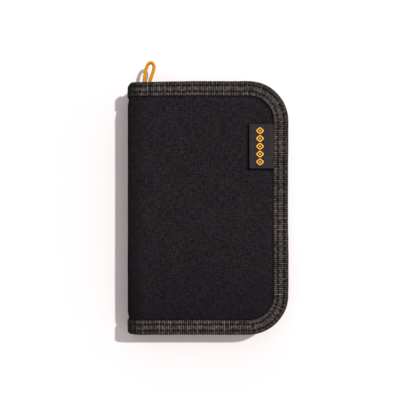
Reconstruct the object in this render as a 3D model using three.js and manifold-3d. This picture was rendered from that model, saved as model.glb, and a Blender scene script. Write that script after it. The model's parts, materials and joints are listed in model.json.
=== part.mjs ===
// Zip-around passport wallet, closed and lying on its back cover.
// Millimetres. +Z up, +X from the spine towards the opening edge, +Y towards the top edge.
// The origin is on the resting plane, under the centre of the back cover.
import * as THREE from "three";
import { mergeVertices } from "three/addons/utils/BufferGeometryUtils.js";
import Module from "manifold-3d";

const wasm = await Module();
wasm.setup();

// ---- Driving dimensions ----
const WIDTH = 104; // spine to opening edge
const HEIGHT = 164; // bottom edge to top edge
const THICK = 20; // closed thickness
const CORNER_R = 26; // rounded corners on the opening edge
const LEFT = -WIDTH / 2;
const RIGHT = WIDTH / 2;
const TOP = HEIGHT / 2;
const MID_Z = THICK / 2;
const GAP = 0.1; // air between stacked layers
const MOVE_GAP = 0.3; // air beside pieces that move past each other

// Layers of a cover as [start, end] depths from its outer face. The spine has the same layers.
const TAPE_T = 0.5; // grosgrain binding, folded over the edge
const BINDING_OUT = [0, TAPE_T];
const CANVAS_FACE = [0, 0.7]; // inside the binding
const CANVAS_EDGE = [0.6, 1.3]; // continues under the binding
const FOAM = [1.4, 2.6];
const LINING = [2.7, 3.0];
const BINDING_IN = [3.1, 3.6];
const ZIP_FLANGE = [3.7, 4.2];

const BINDING_W = 9.5; // visible width of the binding outside
const BINDING_IN_W = 9.0; // and inside
const RAW_INSET = 0.6; // raw edges of the layers sit this far inside the tape's fold

// Each fold is a quarter ring round a centre in the XZ plane. Half of it belongs to the cover, half to the spine.
const FOLD_R = 2.8;
const FOLD_X = LEFT + FOLD_R;
const FOLD_Z = FOLD_R;
const FOLD_SPLIT = 225; // degrees; the spine's face is at 180 and the cover's at 270
const FOLD_PLAY = 3; // degrees left open on each side of the split
const SPINE_IN = LEFT + BINDING_IN[1]; // the spine's inner face
const INNER_LEFT = SPINE_IN + GAP; // a cover's inner layers start here

// The zip stands as a wall inside the edge, with its coil on the outer side.
const WALL_INSET = 8.5;
const WALL_T = 0.5;
const FLANGE_INSET = 2;
const WALL_Y = TOP - WALL_INSET;
const TAPE_LEFT = LEFT + 5.8; // the tapes end here, beside the spine
const COIL_LEFT = TAPE_LEFT + 1.8;
const COIL_T = 1.3;
const COIL_HALF = 2.1; // from the zip's centre line to the coil's sewn side
const ZIP_CLEAR = 0.55; // from the centre line to each half of the zip
const STOP_L = 1.3;
const STOP_CLEAR = 1.2; // from the centre line, so that a cover's stop passes the slider's nose

// Slider on the top wall, at the closed end.
const SLIDER_X = LEFT + 12.1;
const SLIDER_L = 9;
const SLIDER_FRONT_W = 6.8;
const SLIDER_REAR_W = 6.0;
const PLATE_T = 0.8;
const POST_T = 0.5;
const CHANNEL_HALF = COIL_HALF + 0.4;
const PLATE_Y = WALL_Y + GAP + COIL_T + 0.25; // underside of the outer plate
const BAIL_Y = PLATE_Y + PLATE_T; // outer face of the outer plate
const BAIL_W = 1.4;

// Puller: a cross-bar under the slider's bail and an eye for the cord.
const BAR_R = 0.45;
const BAR_CLEAR = 0.3;
const PIVOT_Y = BAIL_Y + BAR_R + BAR_CLEAR;
const PULLER_T = 0.8;
const PULLER_W = 4.4;
const ARM_IN = 1.15; // half of the window between the puller's arms
const EYE_R = 1.25;
const EYE_Y = PIVOT_Y + 3.5;
const CORD_R = 1.0;

// Passport sleeve on the back cover's lining.
const SLEEVE = { x0: -47.9, x1: 42.7, y0: -63.2, y1: 50, corner: 6, wall: 0.7, gap: 4.3, sheet: 0.5, notch: 11 };

// Pockets on the front cover's lining; document and card are the free heights above each sheet.
const POCKETS = { x0: -47.6, x1: 41.4, y0: -62.2, seam: 1.1, sheet: 0.4, document: 0.6, card: 0.85 };
const DOCUMENT_TOP = 58;
const CARD_TOPS = [11, -3, -17];
const CARD_POCKET_H = 44;

const LABEL = { x0: 26.5, y0: 25.4, y1: 53.9, t: 0.35 };

// ---- Materials ----
const finish = (color, roughness, metalness = 0) =>
  new THREE.MeshStandardMaterial({ color, roughness, metalness });
const CANVAS_BLACK = finish(0x262527, 0.85);
const GROSGRAIN = finish(0x55504d, 0.8);
const FOAM_GREY = finish(0x3a3a3c, 0.95);
const LINING_GREY = finish(0x3b3b3f, 0.6);
const TAPE_BLACK = finish(0x1c1c1e, 0.8);
const COIL_BLACK = finish(0x161617, 0.45);
const METAL_BLACK = finish(0x202022, 0.4, 0.8);
const CORD_YELLOW = finish(0xe8a020, 0.75);
const LABEL_GREY = finish(0x3e3a40, 0.7);

// ---- Solids ----
const CURVE_STEPS = 8;
const PAST = 1; // how far a cutting solid runs past what it cuts

function solidOf(geometry) {
  const bare = geometry.index ? geometry.toNonIndexed() : geometry.clone();
  bare.deleteAttribute("normal");
  bare.deleteAttribute("uv");
  const merged = mergeVertices(bare, 1e-4);
  const mesh = new wasm.Mesh({
    numProp: 3,
    vertProperties: merged.attributes.position.array,
    triVerts: new Uint32Array(merged.index.array),
  });
  return new wasm.Manifold(mesh);
}

function geometryOf(solid) {
  const mesh = solid.getMesh();
  const geometry = new THREE.BufferGeometry();
  geometry.setAttribute("position", new THREE.BufferAttribute(mesh.vertProperties, 3));
  geometry.setIndex(new THREE.BufferAttribute(mesh.triVerts, 1));
  geometry.computeVertexNormals();
  return geometry;
}

const join = (...solids) => solids.reduce((all, solid) => all.add(solid));

// Reflects a solid in the plane where `axis` equals `at`.
function mirrored(solid, axis, at = 0) {
  const geometry = geometryOf(solid);
  const scale = new THREE.Vector3(1, 1, 1);
  scale[axis] = -1;
  const shift = new THREE.Vector3();
  shift[axis] = 2 * at;
  geometry.scale(...scale).translate(...shift);
  const corners = geometry.index.array;
  for (let i = 0; i < corners.length; i += 3) {
    [corners[i], corners[i + 1]] = [corners[i + 1], corners[i]];
  }
  return solidOf(geometry);
}

const toFront = (solid) => mirrored(solid, "z", MID_Z);
const toBottom = (solid) => mirrored(solid, "y");

// A shape drawn in XY, between two heights.
function slab(shape, [z0, z1]) {
  const depth = z1 - z0;
  const made = new THREE.ExtrudeGeometry(shape, { depth, bevelEnabled: false, curveSegments: CURVE_STEPS });
  return solidOf(made.translate(0, 0, z0));
}

// A shape drawn with X across and Z up, between two places along Y.
function slabY(shape, [y0, y1]) {
  const depth = y1 - y0;
  const made = new THREE.ExtrudeGeometry(shape, { depth, bevelEnabled: false, curveSegments: CURVE_STEPS });
  return solidOf(made.rotateX(Math.PI / 2).translate(0, y1, 0));
}

function block([x0, x1], [y0, y1], [z0, z1]) {
  const made = new THREE.BoxGeometry(x1 - x0, y1 - y0, z1 - z0);
  return solidOf(made.translate((x0 + x1) / 2, (y0 + y1) / 2, (z0 + z1) / 2));
}

// A cover's outline, inset from its edges, square at the spine side and round at the opening side.
function outline(inset, left) {
  const r = CORNER_R - inset;
  const cx = RIGHT - CORNER_R;
  const cy = TOP - CORNER_R;
  const y = TOP - inset;
  const shape = new THREE.Shape();
  shape.moveTo(left, -y);
  shape.lineTo(cx, -y);
  shape.absarc(cx, -cy, r, -Math.PI / 2, 0, false);
  shape.absarc(cx, cy, r, 0, Math.PI / 2, false);
  shape.lineTo(left, y);
  return shape;
}

// The band between two insets, open at the spine side.
function rim([outer, inner], left, [z0, z1]) {
  const hole = slab(outline(inner, left - PAST), [z0 - PAST, z1 + PAST]);
  return slab(outline(outer, left), [z0, z1]).subtract(hole);
}

// Part of a ring round the back fold's centre, between two depths from the outer face.
function foldBand([d0, d1], [fromDeg, toDeg], yRange) {
  const a0 = THREE.MathUtils.degToRad(fromDeg);
  const a1 = THREE.MathUtils.degToRad(toDeg);
  const shape = new THREE.Shape();
  shape.absarc(FOLD_X, FOLD_Z, FOLD_R - d0, a0, a1, false);
  shape.absarc(FOLD_X, FOLD_Z, FOLD_R - d1, a1, a0, true);
  return slabY(shape, yRange);
}

const within = (inset) => [inset - TOP, TOP - inset];

const canvasFold = (angles) =>
  join(
    foldBand(CANVAS_EDGE, angles, within(RAW_INSET)),
    foldBand(CANVAS_FACE, angles, within(BINDING_W + GAP)),
  );

// The binding at the top end of one half of a fold: its outer face and its folded edge.
function bindingFold(angles) {
  const face = foldBand(BINDING_OUT, angles, [TOP - BINDING_W, TOP]);
  const edge = foldBand([0, FOLD_R - 0.8], angles, [TOP - TAPE_T, TOP]);
  return join(face, edge);
}

const COVER_FOLD = [FOLD_SPLIT + FOLD_PLAY, 271];
const SPINE_FOLD = [179, FOLD_SPLIT - FOLD_PLAY];

// ---- A cover, built as the back cover ----
function coverCanvas() {
  const edge = slab(outline(RAW_INSET, FOLD_X), CANVAS_EDGE);
  const face = slab(outline(BINDING_W + GAP, FOLD_X), CANVAS_FACE);
  return join(edge, face, canvasFold(COVER_FOLD));
}

const coverFoam = () => slab(outline(RAW_INSET, FOLD_X + RAW_INSET), FOAM);

const coverLining = () => slab(outline(RAW_INSET, INNER_LEFT), LINING);

function coverBinding() {
  const below = FOLD_Z - MOVE_GAP; // the spine's own edge starts at the fold's centre
  const fold = bindingFold(COVER_FOLD);
  return join(
    rim([0, BINDING_W], FOLD_X, BINDING_OUT),
    rim([0, BINDING_IN_W], INNER_LEFT, BINDING_IN),
    rim([0, TAPE_T], INNER_LEFT, [0, BINDING_IN[1]]),
    rim([0, TAPE_T], FOLD_X, [0, below]),
    fold,
    toBottom(fold),
  );
}

// A flange sewn to the cover, and the wall that stands from it to the zip's centre line.
function zipTape() {
  const wallEdge = MID_Z - ZIP_CLEAR;
  const flange = rim([FLANGE_INSET, WALL_INSET + WALL_T], TAPE_LEFT, ZIP_FLANGE);
  const wall = rim([WALL_INSET, WALL_INSET + WALL_T], TAPE_LEFT, [ZIP_FLANGE[0], wallEdge]);
  return join(flange, wall);
}

const COIL_Z = [MID_Z - COIL_HALF, MID_Z - ZIP_CLEAR];

function zipCoil(topStart) {
  const whole = rim([WALL_INSET - GAP - COIL_T, WALL_INSET - GAP], COIL_LEFT, COIL_Z);
  const unused = block([LEFT, topStart], [0, TOP], [COIL_Z[0] - PAST, COIL_Z[1] + PAST]);
  return whole.subtract(unused);
}

function zipStop() {
  const x = TAPE_LEFT + 0.2;
  const y = WALL_Y + GAP;
  return block([x, x + STOP_L], [y, y + COIL_T], [MID_Z - COIL_HALF, MID_Z - STOP_CLEAR]);
}

// ---- Spine ----
const SPINE_Z = [FOLD_Z, THICK - FOLD_Z];
const depthX = ([d0, d1]) => [LEFT + d0, LEFT + d1];

function spineCanvas() {
  const fold = canvasFold(SPINE_FOLD);
  return join(
    block(depthX(CANVAS_EDGE), within(RAW_INSET), SPINE_Z),
    block(depthX(CANVAS_FACE), within(BINDING_W + GAP), SPINE_Z),
    fold,
    toFront(fold),
  );
}

const spineFoam = () => block(depthX(FOAM), within(RAW_INSET), SPINE_Z);

const spineLining = () =>
  block(depthX(LINING), within(RAW_INSET), [LINING[1] + MOVE_GAP, THICK - LINING[1] - MOVE_GAP]);

function spineBinding() {
  const face = [TOP - BINDING_W, TOP];
  const fold = bindingFold(SPINE_FOLD);
  return join(
    block(depthX(BINDING_OUT), face, SPINE_Z),
    block(depthX(BINDING_IN), face, SPINE_Z),
    block([LEFT, SPINE_IN], [TOP - TAPE_T, TOP], SPINE_Z),
    fold,
    toFront(fold),
  );
}

function zipEndTab() {
  const half = 0.9;
  const tall = 2.3;
  return block(
    [SPINE_IN + GAP, TAPE_LEFT - MOVE_GAP],
    [WALL_Y - half, WALL_Y + half],
    [MID_Z - tall, MID_Z + tall],
  );
}

// ---- Passport sleeve ----
const SLEEVE_WALL_Z = [LINING[1] + GAP, LINING[1] + SLEEVE.gap - GAP];

function sleevePanel() {
  const { x0, x1, y0, y1, corner, notch, gap, sheet } = SLEEVE;
  const shape = new THREE.Shape();
  shape.absarc(x0 + corner, y0 + corner, corner, Math.PI, 1.5 * Math.PI, false);
  shape.absarc(x1 - corner, y0 + corner, corner, 1.5 * Math.PI, 2 * Math.PI, false);
  shape.lineTo(x1, y1);
  shape.absarc((x0 + x1) / 2, y1, notch, 0, Math.PI, true);
  shape.lineTo(x0, y1);
  return slab(shape, [LINING[1] + gap, LINING[1] + gap + sheet]);
}

const sleeveSide = (x) =>
  block([x, x + SLEEVE.wall], [SLEEVE.y0 + SLEEVE.corner, SLEEVE.y1], SLEEVE_WALL_Z);

function sleeveFoot() {
  const { x0, x1, y0, corner, wall } = SLEEVE;
  return block([x0 + corner, x1 - corner], [y0, y0 + wall], SLEEVE_WALL_Z);
}

// ---- Pockets on the front cover, each an L: a sheet with a foot that closes it against the layer above ----
const POCKET_ROOF = THICK - LINING[1];
const cardDepth = (i) => POCKETS.document + POCKETS.card + (i + 1) * POCKETS.sheet + i * (POCKETS.card + POCKETS.sheet);

function pocket(top, bottom, depth, free) {
  const { x0, x1, seam, sheet } = POCKETS;
  const x = [x0 + seam + GAP, x1 - seam - GAP];
  const face = POCKET_ROOF - depth;
  const panel = block(x, [bottom, top], [face, face + sheet]);
  const foot = block(x, [bottom, bottom + seam], [face, face + sheet + free - GAP]);
  return join(panel, foot);
}

const documentPocket = () =>
  pocket(DOCUMENT_TOP, POCKETS.y0 + POCKETS.seam, POCKETS.document + POCKETS.sheet, POCKETS.document);

const cardPocket = (i) =>
  pocket(CARD_TOPS[i], CARD_TOPS[i] - CARD_POCKET_H, cardDepth(i) + POCKETS.sheet, POCKETS.card);

function pocketSeam(x) {
  const last = cardDepth(CARD_TOPS.length - 1) + POCKETS.sheet;
  return block([x, x + POCKETS.seam], [POCKETS.y0, DOCUMENT_TOP], [POCKET_ROOF - last, POCKET_ROOF - GAP]);
}

// ---- Label, set into the padded canvas beside the binding ----
const labelX = [LABEL.x0, RIGHT - BINDING_W - GAP];
const label = () => block(labelX, [LABEL.y0, LABEL.y1], [THICK - LABEL.t, THICK]);

function frontCanvas() {
  const recess = block(
    [labelX[0] - GAP, labelX[1] + GAP],
    [LABEL.y0 - GAP, LABEL.y1 + GAP],
    [THICK - LABEL.t - GAP, THICK + PAST],
  );
  return toFront(coverCanvas()).subtract(recess);
}

// ---- Slider ----
// Outline seen along Y: a pointed nose, wide shoulders where the two halves of the zip come in, a narrower rear.
function sliderPlate(yRange, frontW, rearW) {
  const front = SLIDER_X - SLIDER_L / 2;
  const rear = SLIDER_X + SLIDER_L / 2;
  const nose = 2.2;
  const cut = 1.2;
  const half = [
    [front, frontW / 2 - nose],
    [front + nose, frontW / 2],
    [rear - cut, rearW / 2],
    [rear, rearW / 2 - cut],
  ];
  const lower = half.map(([x, z]) => new THREE.Vector2(x, MID_Z - z));
  const upper = half.map(([x, z]) => new THREE.Vector2(x, MID_Z + z)).reverse();
  return slabY(new THREE.Shape([...lower, ...upper]), yRange);
}

// The arch that the puller's bar sits under, drawn in XY.
function sliderBail() {
  const foot = 2.6;
  const crown = 1.1;
  const leg = 0.6;
  const sunk = -0.2;
  const inside = 2 * (BAR_R + BAR_CLEAR);
  const arch = [
    [-foot, sunk],
    [1.1 - foot, sunk],
    [0.2 - crown, inside],
    [crown - 0.2, inside],
    [foot - 1.1, sunk],
    [foot, sunk],
    [crown, inside + leg],
    [-crown, inside + leg],
  ].map(([x, y]) => new THREE.Vector2(SLIDER_X + x, BAIL_Y + y));
  return slab(new THREE.Shape(arch), [MID_Z - BAIL_W / 2, MID_Z + BAIL_W / 2]);
}

function sliderBody() {
  const inner = WALL_Y - WALL_T - MOVE_GAP;
  const narrower = 0.8;
  const channel = block(
    [LEFT, 0],
    [0, PLATE_Y],
    [MID_Z - CHANNEL_HALF, MID_Z + CHANNEL_HALF],
  );
  const outer = sliderPlate([PLATE_Y, BAIL_Y], SLIDER_FRONT_W, SLIDER_REAR_W);
  const flanges = sliderPlate([WALL_Y + MOVE_GAP, PLATE_Y + GAP], SLIDER_FRONT_W, SLIDER_REAR_W);
  const under = sliderPlate([inner - PLATE_T, inner], SLIDER_FRONT_W - narrower, SLIDER_REAR_W - narrower);
  const postFront = SLIDER_X - SLIDER_L / 2 + 0.6;
  const post = block(
    [postFront, postFront + 2.4],
    [inner - GAP, PLATE_Y + GAP],
    [MID_Z - POST_T / 2, MID_Z + POST_T / 2],
  );
  return join(outer, flanges.subtract(channel), under, post, sliderBail());
}

// ---- Puller ----
// Drawn in YZ as a plate across X, so the cord runs through its eye along X.
function puller() {
  const half = PULLER_W / 2;
  const armEnd = PIVOT_Y - 0.3;
  const windowEnd = PIVOT_Y + 1.85;
  const tip = EYE_R + 0.5;
  const shape = new THREE.Shape();
  shape.moveTo(armEnd, -half);
  shape.lineTo(EYE_Y, -half);
  shape.lineTo(EYE_Y + tip, tip - half);
  shape.lineTo(EYE_Y + tip, half - tip);
  shape.lineTo(EYE_Y, half);
  shape.lineTo(armEnd, half);
  shape.lineTo(armEnd, ARM_IN);
  shape.lineTo(windowEnd, ARM_IN);
  shape.lineTo(windowEnd, -ARM_IN);
  shape.lineTo(armEnd, -ARM_IN);
  const eye = new THREE.Path();
  eye.absarc(EYE_Y, 0, EYE_R, 0, 2 * Math.PI, true);
  shape.holes.push(eye);
  const plate = new THREE.ExtrudeGeometry(shape, {
    depth: PULLER_T,
    bevelEnabled: false,
    curveSegments: CURVE_STEPS,
  });
  // Shape X becomes Y, shape Y becomes Z, and depth becomes X.
  const yzx = new THREE.Matrix4().makeBasis(
    new THREE.Vector3(0, 1, 0),
    new THREE.Vector3(0, 0, 1),
    new THREE.Vector3(1, 0, 0),
  );
  plate.applyMatrix4(yzx).translate(SLIDER_X - PULLER_T / 2, 0, MID_Z);
  const bar = new THREE.CylinderGeometry(BAR_R, BAR_R, 2 * (ARM_IN + GAP), 12);
  bar.rotateX(Math.PI / 2).translate(SLIDER_X, PIVOT_Y, MID_Z);
  return join(solidOf(plate), solidOf(bar));
}

// ---- Cord loop ----
// It leaves the eye on both sides, and its two fused ends meet inside the eye.
// Points are (x, y) from the eye's centre, at mid thickness.
const CORD_ROUTE = [
  [0.2, 0],
  [0.75, 0.16],
  [1.25, 0.6],
  [1.6, 1.3],
  [2.0, 2.6],
  [2.75, 4.9],
  [3.65, 7.5],
  [4.4, 9.8],
  [4.7, 11.6],
  [4.35, 13.3],
  [3.3, 14.5],
  [1.9, 14.55],
  [0.75, 13.5],
  [-0.15, 11.7],
  [-0.85, 9.4],
  [-1.3, 7],
  [-1.6, 4.5],
  [-1.7, 2.6],
  [-1.55, 1.3],
  [-1.2, 0.6],
  [-0.75, 0.16],
  [-0.2, 0],
];

function pullCord() {
  const sides = 8;
  const section = new THREE.Shape();
  section.absarc(0, 0, CORD_R, 0, 2 * Math.PI, false);
  const points = CORD_ROUTE.map(([x, y]) => new THREE.Vector3(SLIDER_X + x, EYE_Y + y, MID_Z));
  const path = new THREE.CatmullRomCurve3(points, false, "centripetal");
  const made = new THREE.ExtrudeGeometry(section, {
    steps: 40,
    curveSegments: sides,
    extrudePath: path,
    bevelEnabled: false,
  });
  return solidOf(made);
}

// ---- Assembly ----
const wallet = new THREE.Group();

function place(name, solid, material) {
  const mesh = new THREE.Mesh(geometryOf(solid), material);
  mesh.name = name;
  wallet.add(mesh);
}

function placeEnds(name, solid, material) {
  place(`${name}_top`, solid, material);
  place(`${name}_bottom`, toBottom(solid), material);
}

place("back_canvas", coverCanvas(), CANVAS_BLACK);
place("back_stiffener", coverFoam(), FOAM_GREY);
place("back_lining", coverLining(), LINING_GREY);
place("back_binding", coverBinding(), GROSGRAIN);
place("back_zip_tape", zipTape(), TAPE_BLACK);
place("back_zip_coil", zipCoil(COIL_LEFT), COIL_BLACK);
placeEnds("back_zip_stop", zipStop(), METAL_BLACK);
place("passport_sleeve_panel", sleevePanel(), LINING_GREY);
place("passport_sleeve_spine_side", sleeveSide(SLEEVE.x0), LINING_GREY);
place("passport_sleeve_edge_side", sleeveSide(SLEEVE.x1 - SLEEVE.wall), LINING_GREY);
place("passport_sleeve_foot", sleeveFoot(), LINING_GREY);

place("spine_canvas", spineCanvas(), CANVAS_BLACK);
place("spine_stiffener", spineFoam(), FOAM_GREY);
place("spine_lining", spineLining(), LINING_GREY);
placeEnds("spine_binding", spineBinding(), GROSGRAIN);
placeEnds("zip_end_tab", zipEndTab(), GROSGRAIN);

const behindSlider = SLIDER_X + SLIDER_L / 2 + 0.8;
place("front_canvas", frontCanvas(), CANVAS_BLACK);
place("front_stiffener", toFront(coverFoam()), FOAM_GREY);
place("front_lining", toFront(coverLining()), LINING_GREY);
place("front_binding", toFront(coverBinding()), GROSGRAIN);
place("front_zip_tape", toFront(zipTape()), TAPE_BLACK);
place("front_zip_coil", toFront(zipCoil(behindSlider)), COIL_BLACK);
placeEnds("front_zip_stop", toFront(zipStop()), METAL_BLACK);
place("label", label(), LABEL_GREY);
place("document_pocket", documentPocket(), LINING_GREY);
CARD_TOPS.forEach((top, i) => place(`card_pocket_${i + 1}`, cardPocket(i), CANVAS_BLACK));
place("pocket_seam_spine_side", pocketSeam(POCKETS.x0), LINING_GREY);
place("pocket_seam_edge_side", pocketSeam(POCKETS.x1 - POCKETS.seam), LINING_GREY);

place("slider_body", sliderBody(), METAL_BLACK);
place("puller", puller(), METAL_BLACK);
place("pull_cord", pullCord(), CORD_YELLOW);

export default wallet;
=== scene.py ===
# Passport holder wallet: the looks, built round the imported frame.
# Lengths are in millimetres until make() turns them into a mesh in metres.
# +X runs from the spine to the opening edge, +Y from the bottom edge to the top edge, +Z up.
import json
import math

import bpy
import numpy as np
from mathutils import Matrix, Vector


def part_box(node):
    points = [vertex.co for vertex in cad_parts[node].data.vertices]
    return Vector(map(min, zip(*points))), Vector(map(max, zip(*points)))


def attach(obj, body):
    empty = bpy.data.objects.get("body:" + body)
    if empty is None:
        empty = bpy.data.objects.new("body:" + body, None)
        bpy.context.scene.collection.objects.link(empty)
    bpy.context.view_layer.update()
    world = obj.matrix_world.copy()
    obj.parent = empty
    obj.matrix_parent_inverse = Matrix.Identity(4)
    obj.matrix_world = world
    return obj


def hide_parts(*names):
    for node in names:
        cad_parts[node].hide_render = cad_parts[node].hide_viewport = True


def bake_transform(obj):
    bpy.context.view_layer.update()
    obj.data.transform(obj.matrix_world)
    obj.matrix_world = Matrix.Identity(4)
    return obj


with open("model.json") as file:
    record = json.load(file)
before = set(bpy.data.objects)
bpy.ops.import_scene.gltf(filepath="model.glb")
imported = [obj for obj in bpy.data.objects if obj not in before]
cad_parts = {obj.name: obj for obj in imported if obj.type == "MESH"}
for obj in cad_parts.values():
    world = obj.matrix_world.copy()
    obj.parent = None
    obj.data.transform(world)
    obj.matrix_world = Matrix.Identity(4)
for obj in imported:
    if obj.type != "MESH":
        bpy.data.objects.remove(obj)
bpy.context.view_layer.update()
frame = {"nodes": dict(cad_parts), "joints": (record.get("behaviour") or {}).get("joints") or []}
MM = 0.001


# ---- Sizes, from the frame ----
def box_mm(node):
    low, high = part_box(node)
    return np.array(low) / MM, np.array(high) / MM


RIGHT, TOP, COVER_T = box_mm("back_binding")[1]
LEFT = box_mm("spine_canvas")[0][0]
THICK = box_mm("front_binding")[1][2]
MID_Z = THICK / 2
cover_edge = np.array([v.co for v in frame["nodes"]["back_binding"].data.vertices]) / MM
CORNER_X = cover_edge[cover_edge[:, 1] > TOP - 0.01, 0].max()  # the centre of the round corners
CORNER_R = RIGHT - CORNER_X
CORNER_Y = TOP - CORNER_R
FOLD_R = box_mm("spine_stiffener")[0][2]
FOLD_X = LEFT + FOLD_R
FOLD_ARC = FOLD_R * math.pi / 2
FLAT_LEFT = FOLD_X - FOLD_ARC - (MID_Z - FOLD_R)  # the spine's centre line in the flat pattern
LINING_Z = box_mm("back_lining")[1][2]

BINDING_W = 9.5  # width of the folded tape outside
BINDING_IN_W = 9.0  # and inside
TAPE_T = 0.5
STITCH_ROWS = 3.1, 7.0  # insets of the two seams through the tape
STITCH_PITCH = 3.5
RIB_PITCH = 1.2
COVERS = "back", "front"


# ---- Small helpers ----
def smooth(t):
    """An S curve from 0 to 1."""
    t = np.clip(t, 0, 1)
    return t * t * (3 - 2 * t)


def ripple(x, y, wave, seed):
    """Smooth waves in random directions, about wave long, mostly from -1 to 1."""
    rng = np.random.default_rng(seed)
    waves, total = 7, 0
    for _ in range(waves):
        angle, phase = rng.uniform(0, 2 * math.pi, 2)
        length = wave * rng.uniform(0.7, 1.5)
        total = total + np.sin((x * math.cos(angle) + y * math.sin(angle)) * 2 * math.pi / length + phase)
    return total / (waves / 2)


def rounded(t):
    """A quarter circle that rises steeply from 0 and is level at 1."""
    return np.sqrt(np.clip(1 - (1 - np.clip(t, 0, 1)) ** 2, 0, 1))


def eased(reach, count):
    """Places from 0 to almost reach, closer together near 0."""
    return reach * (1 - np.cos(np.linspace(0, math.pi / 2, count)))[:-1]


def lengths(line):
    """The length along a line of points up to each of them."""
    return np.concatenate([[0], np.cumsum(np.linalg.norm(np.diff(line, axis=0), axis=1))])


def unit(vectors):
    return vectors / np.linalg.norm(vectors, axis=1)[:, None]


def round_circle(count):
    """Angles evenly round a circle, from 0."""
    return np.arange(count) * 2 * math.pi / count


def together(*parts):
    """Arrays, spread over each other, as one array of pairs or of (x, y, z)."""
    return np.stack(np.broadcast_arrays(*parts), axis=-1)


def flipped(faces):
    return [face[::-1] for face in faces]


def grid_faces(rows, columns, closed=False):
    """Quads over a grid of points. Where it is closed, its last column meets the first."""
    i = np.arange(rows - 1)[:, None] * columns
    j = np.arange(columns if closed else columns - 1)
    after = (j + 1) % columns
    return together(i + j, i + after, i + columns + after, i + columns + j).reshape(-1, 4).tolist()


def sweep_faces(rings, sides):
    """A closed tube of rings, with a face over each end."""
    last = (rings - 1) * sides
    ends = [list(range(sides))[::-1], [last + k for k in range(sides)]]
    return grid_faces(rings, sides, closed=True) + ends


def sheet_faces(rows, columns):
    """Two grids, the second under the first, and the rim between them."""
    top = grid_faces(rows, columns)
    under = rows * columns
    faces = top + [[under + k for k in face] for face in flipped(top)]
    corner = [0, columns - 1, under - 1, under - columns]
    steps = [1, columns, -1, -columns]
    for start, stop, step in zip(corner, corner[1:] + corner[:1], steps):
        for k in range(start, stop, step):
            faces.append([k + step, k, k + under, k + step + under])
    return faces


def join_up(parts):
    """One mesh from several (points, uv, faces)."""
    points, uvs, faces, before = [], [], [], 0
    for part_points, uv, part_faces in parts:
        points.append(part_points)
        uvs.append(uv)
        faces += [[before + k for k in face] for face in part_faces]
        before += len(part_points)
    return np.vstack(points), np.vstack(uvs), faces


def make(name, points, faces, material, uv=None, tone=None, cover="back"):
    """A smooth mesh piece. cover="front" mirrors a piece given for the back cover onto the front one."""
    points = np.array(points, float).reshape(-1, 3)
    if cover == "front":
        points[:, 2] = THICK - points[:, 2]
        faces = flipped(faces)
    mesh = bpy.data.meshes.new(name)
    mesh.from_pydata((points * MM).tolist(), [], faces)
    corners = np.zeros(len(mesh.loops), int)
    mesh.loops.foreach_get("vertex_index", corners)
    if uv is not None:
        layer = mesh.uv_layers.new(name="cloth")
        layer.data.foreach_set("uv", np.array(uv, float).reshape(-1, 2)[corners].ravel())
    # the piece's painted light and shade, kept as an attribute for its finish
    if tone is not None:
        layer = mesh.attributes.new("tone", "FLOAT", "POINT")
        layer.data.foreach_set("value", np.ravel(tone).astype(np.float32))
    mesh.polygons.foreach_set("use_smooth", [True] * len(mesh.polygons))
    mesh.materials.append(material)
    piece = bpy.data.objects.new(name, mesh)
    bpy.context.scene.collection.objects.link(piece)
    return piece


# ---- The flat pattern, and how it folds round the spine ----
SQUEEZE = 4.0  # inner layers shorten over this length beside a fold
INNER_R = 0.3  # tightest radius of a folded layer
TOP_SLOPE = 0.018  # near the spine, the top edge falls this much per millimetre


def pinch(x, y):
    """How far the tape's folded end is drawn in towards the middle of the spine. Each step is how much, and
    from where to the left and over what length it grows."""
    top = 3.2 * smooth((LEFT + 3.4 - x) / 6.5) + TOP_SLOPE * np.maximum(-8 - x, 0)
    bottom = 0.9 * smooth((LEFT + 8 - x) / 10) + 0.7 * smooth((LEFT + 1.2 - x) / 4)
    inset = TOP - np.abs(y)
    share = 1 - 0.65 * np.clip(inset / BINDING_W, 0, 1) - 0.35 * np.clip((inset - BINDING_W) / 16, 0, 1)
    return np.where(y > 0, top, bottom) * share


def fold_up(x, y, depth):
    """Folds a point of the flat pattern, at a depth below its outer face, into the back cover and spine."""
    y = y - np.sign(y) * pinch(x, y)
    radius = np.maximum(FOLD_R - depth, INNER_R)
    centre = depth + radius  # from the outer face, both ways
    lost = centre - FOLD_R
    cover = x - FOLD_X
    spine = -cover - FOLD_ARC
    angle = math.pi * (1.5 + 0.5 * np.clip(cover / FOLD_ARC, -1, 0))
    past = np.maximum(cover, 0)
    up = np.maximum(spine, 0)
    across = LEFT + centre + past - lost * np.clip(past / SQUEEZE, 0, 1)
    height = centre + up - lost * np.clip(up / SQUEEZE, 0, 1)
    return together(across + radius * np.cos(angle), y, height + radius * np.sin(angle))


def edge_at(s, inset=0.0, x_from=FLAT_LEFT):
    """(x, y, inward x, inward y) at a length s along the edge of the flat pattern, from the spine's top end
    round the two corners to its bottom end."""
    r = CORNER_R - inset
    arc = r * math.pi / 2
    side = CORNER_X - x_from
    turn = np.clip((s - side) / arc, 0, 1) + np.clip((s - side - arc - 2 * CORNER_Y) / arc, 0, 1)
    angle = math.pi / 2 * (1 - turn)
    x = x_from + np.clip(s, None, side) - np.clip(s - side - 2 * arc - 2 * CORNER_Y, 0, None)
    y = CORNER_Y - np.clip(s - side - arc, 0, 2 * CORNER_Y)
    return x + r * np.cos(angle), y + r * np.sin(angle), -np.cos(angle), -np.sin(angle)


def edge_length(inset=0.0, x_from=FLAT_LEFT):
    return 2 * (CORNER_X - x_from) + 2 * CORNER_Y + math.pi * (CORNER_R - inset)


def inset_of(x, y):
    """How far a point of the flat pattern is inside its edge."""
    across = x - CORNER_X
    along = np.abs(y) - CORNER_Y
    outside = np.hypot(np.maximum(across, 0), np.maximum(along, 0))
    return CORNER_R - outside - np.minimum(np.maximum(across, along), 0)


def bend_with_spine(piece):
    """Bakes the piece's place into its mesh; nothing ties it to its cover or turns it with the spine."""
    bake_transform(piece)


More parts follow.
